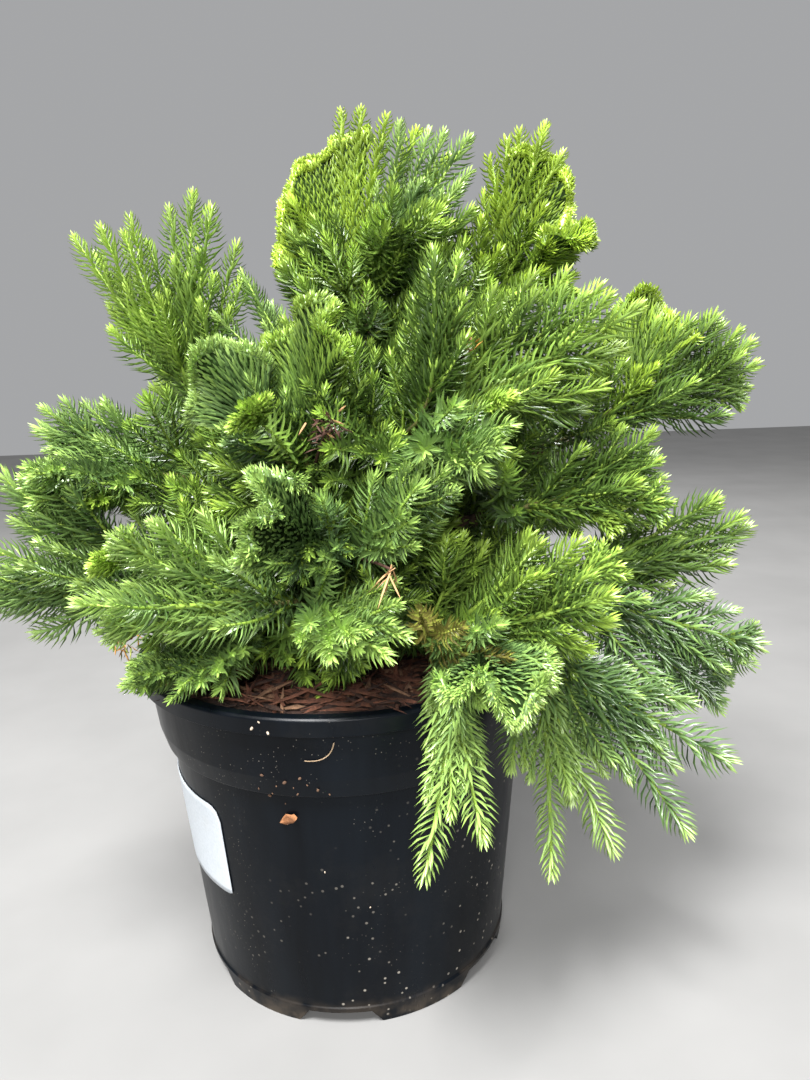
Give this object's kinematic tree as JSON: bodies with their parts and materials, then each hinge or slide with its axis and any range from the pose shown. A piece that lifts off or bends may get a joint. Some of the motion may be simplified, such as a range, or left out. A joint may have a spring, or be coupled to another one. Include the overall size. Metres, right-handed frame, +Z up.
{
  "type": "potted dwarf conifer",
  "caption": "Dwarf conifer with needled sprays and crested fans on a short trunk and spreading boughs, in a round tapered plastic nursery pot with a blank label.",
  "frame": {"origin": "on the pot's axis at its underside, where it stands", "axes": "+Z up, -Y towards the viewer, +X to the viewer's right"},
  "size_m": [0.3401, 0.2761, 0.3926],
  "materials": {
    "pot_plastic": "satin black with fine scuffs",
    "bark_compost": "loose shredded bark",
    "label_paper": "matt, blank",
    "bark": "fibrous bark",
    "needle_foliage": "semi-matt needles",
    "crest_foliage": "semi-matt crested needles"
  },
  "bodies": {
    "root": {"pot": "pot_plastic", "growing_medium": "bark_compost", "label": "label_paper", "trunk": "bark", "bough_left_high": "bark", "bough_left_mid": "bark", "bough_left_low": "bark", "bough_left_low_front": "bark", "bough_front_left_high": "bark", "bough_front_centre": "bark", "bough_front_low": "bark", "bough_centre_front_high": "bark", "bough_front_low_right": "bark", "bough_right_low_front": "bark", "bough_centre_right": "bark", "bough_right_low": "bark", "bough_right_high": "bark", "bough_top_right": "bark", "bough_back_right": "bark", "bough_back": "bark", "bough_back_left": "bark", "spires_left_high": "needle_foliage", "spires_left_inner": "needle_foliage", "spray_left_mid": "needle_foliage", "spray_left_front": "needle_foliage", "spray_left_low_upper": "needle_foliage", "spray_left_low": "needle_foliage", "crest_top_left": "crest_foliage", "spires_behind_left": "needle_foliage", "spires_top_centre": "needle_foliage", "spray_top_front": "needle_foliage", "crest_top_right": "crest_foliage", "crest_right_ledge": "crest_foliage", "crest_right_high": "crest_foliage", "spray_right_high": "needle_foliage", "spires_centre_dark": "needle_foliage", "fan_centre_right": "needle_foliage", "spray_centre_front": "needle_foliage", "crest_wave_left": "crest_foliage", "crest_wave_right": "crest_foliage", "crest_front": "crest_foliage", "spray_front_right": "needle_foliage", "spray_front_left": "needle_foliage", "spray_front_knob": "needle_foliage", "crest_front_low": "crest_foliage", "spray_front_bright": "needle_foliage", "hanging_front": "needle_foliage", "hanging_right_front": "needle_foliage", "hanging_right": "needle_foliage", "spray_pot_edge": "needle_foliage", "spray_centre_right": "needle_foliage", "spires_right": "needle_foliage", "spray_right_low": "needle_foliage", "spray_back_right_high": "needle_foliage", "spray_back_right_low": "needle_foliage", "spray_back_left_high": "needle_foliage", "spray_back_left_low": "needle_foliage", "spray_back_low": "needle_foliage", "spires_back_high": "needle_foliage"}
  },
  "joints": []
}
